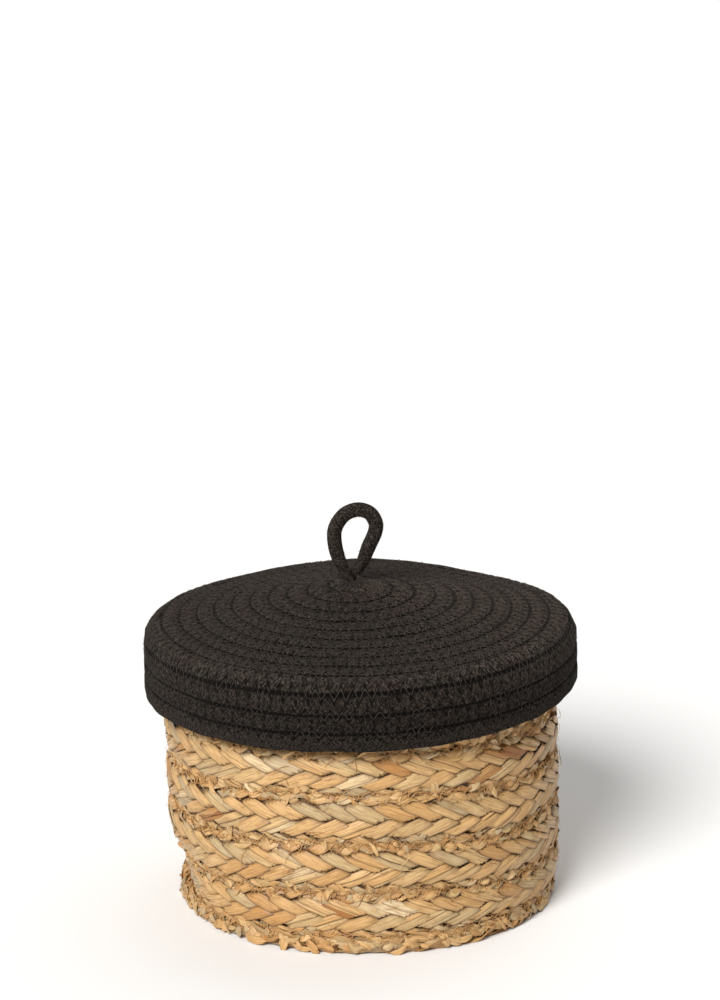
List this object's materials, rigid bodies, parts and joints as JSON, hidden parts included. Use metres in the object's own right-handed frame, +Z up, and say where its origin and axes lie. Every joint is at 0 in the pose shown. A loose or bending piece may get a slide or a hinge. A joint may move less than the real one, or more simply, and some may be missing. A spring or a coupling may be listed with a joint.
{
  "type": "woven lidded box",
  "caption": "Round basket of plaited grass strip sewn in level courses, with a lift-off lid of coiled cotton rope and an upright rope loop to lift it by.",
  "frame": {"origin": "centre of the object's box, on the surface that the base rests on, below the middle of the lid", "axes": "+Z up, the way the lid lifts off; +X to the right and -Y towards the viewer, with the loop handle's opening seen along Y; the lid sits 1.1 degrees low on its -X side"},
  "size_m": [0.2113, 0.211, 0.197],
  "materials": {
    "plaited_grass": "dry golden grass splints in a flat nine-strand plait, satin on the ridges, with green-grey and brown strands among them",
    "tan_thread": "coarse tan-brown plant-fibre thread, matt",
    "cotton_rope": "black-brown braided cotton rope, matt with a fine fuzz",
    "black_thread": "black cotton sewing thread, matt"
  },
  "bodies": {
    "basket": {"base_coil": "plaited_grass", "base_seam_thread": "tan_thread", "wall_course_1": "plaited_grass", "wall_course_2": "plaited_grass", "wall_course_3": "plaited_grass", "wall_course_4": "plaited_grass", "wall_course_5": "plaited_grass", "wall_seam_thread_1": "tan_thread", "wall_seam_thread_2": "tan_thread", "wall_seam_thread_3": "tan_thread", "wall_seam_thread_4": "tan_thread", "wall_seam_thread_5": "tan_thread"},
    "lid": {"lid_rope": "cotton_rope", "lid_seam_thread": "black_thread", "loop_handle": "cotton_rope", "loop_tack_thread": "black_thread"}
  },
  "joints": [
    {"name": "lid_lift", "type": "slide", "parent": "basket", "child": "lid", "axis": [0, 0, 1], "range_m": [0, 0.1]}
  ]
}
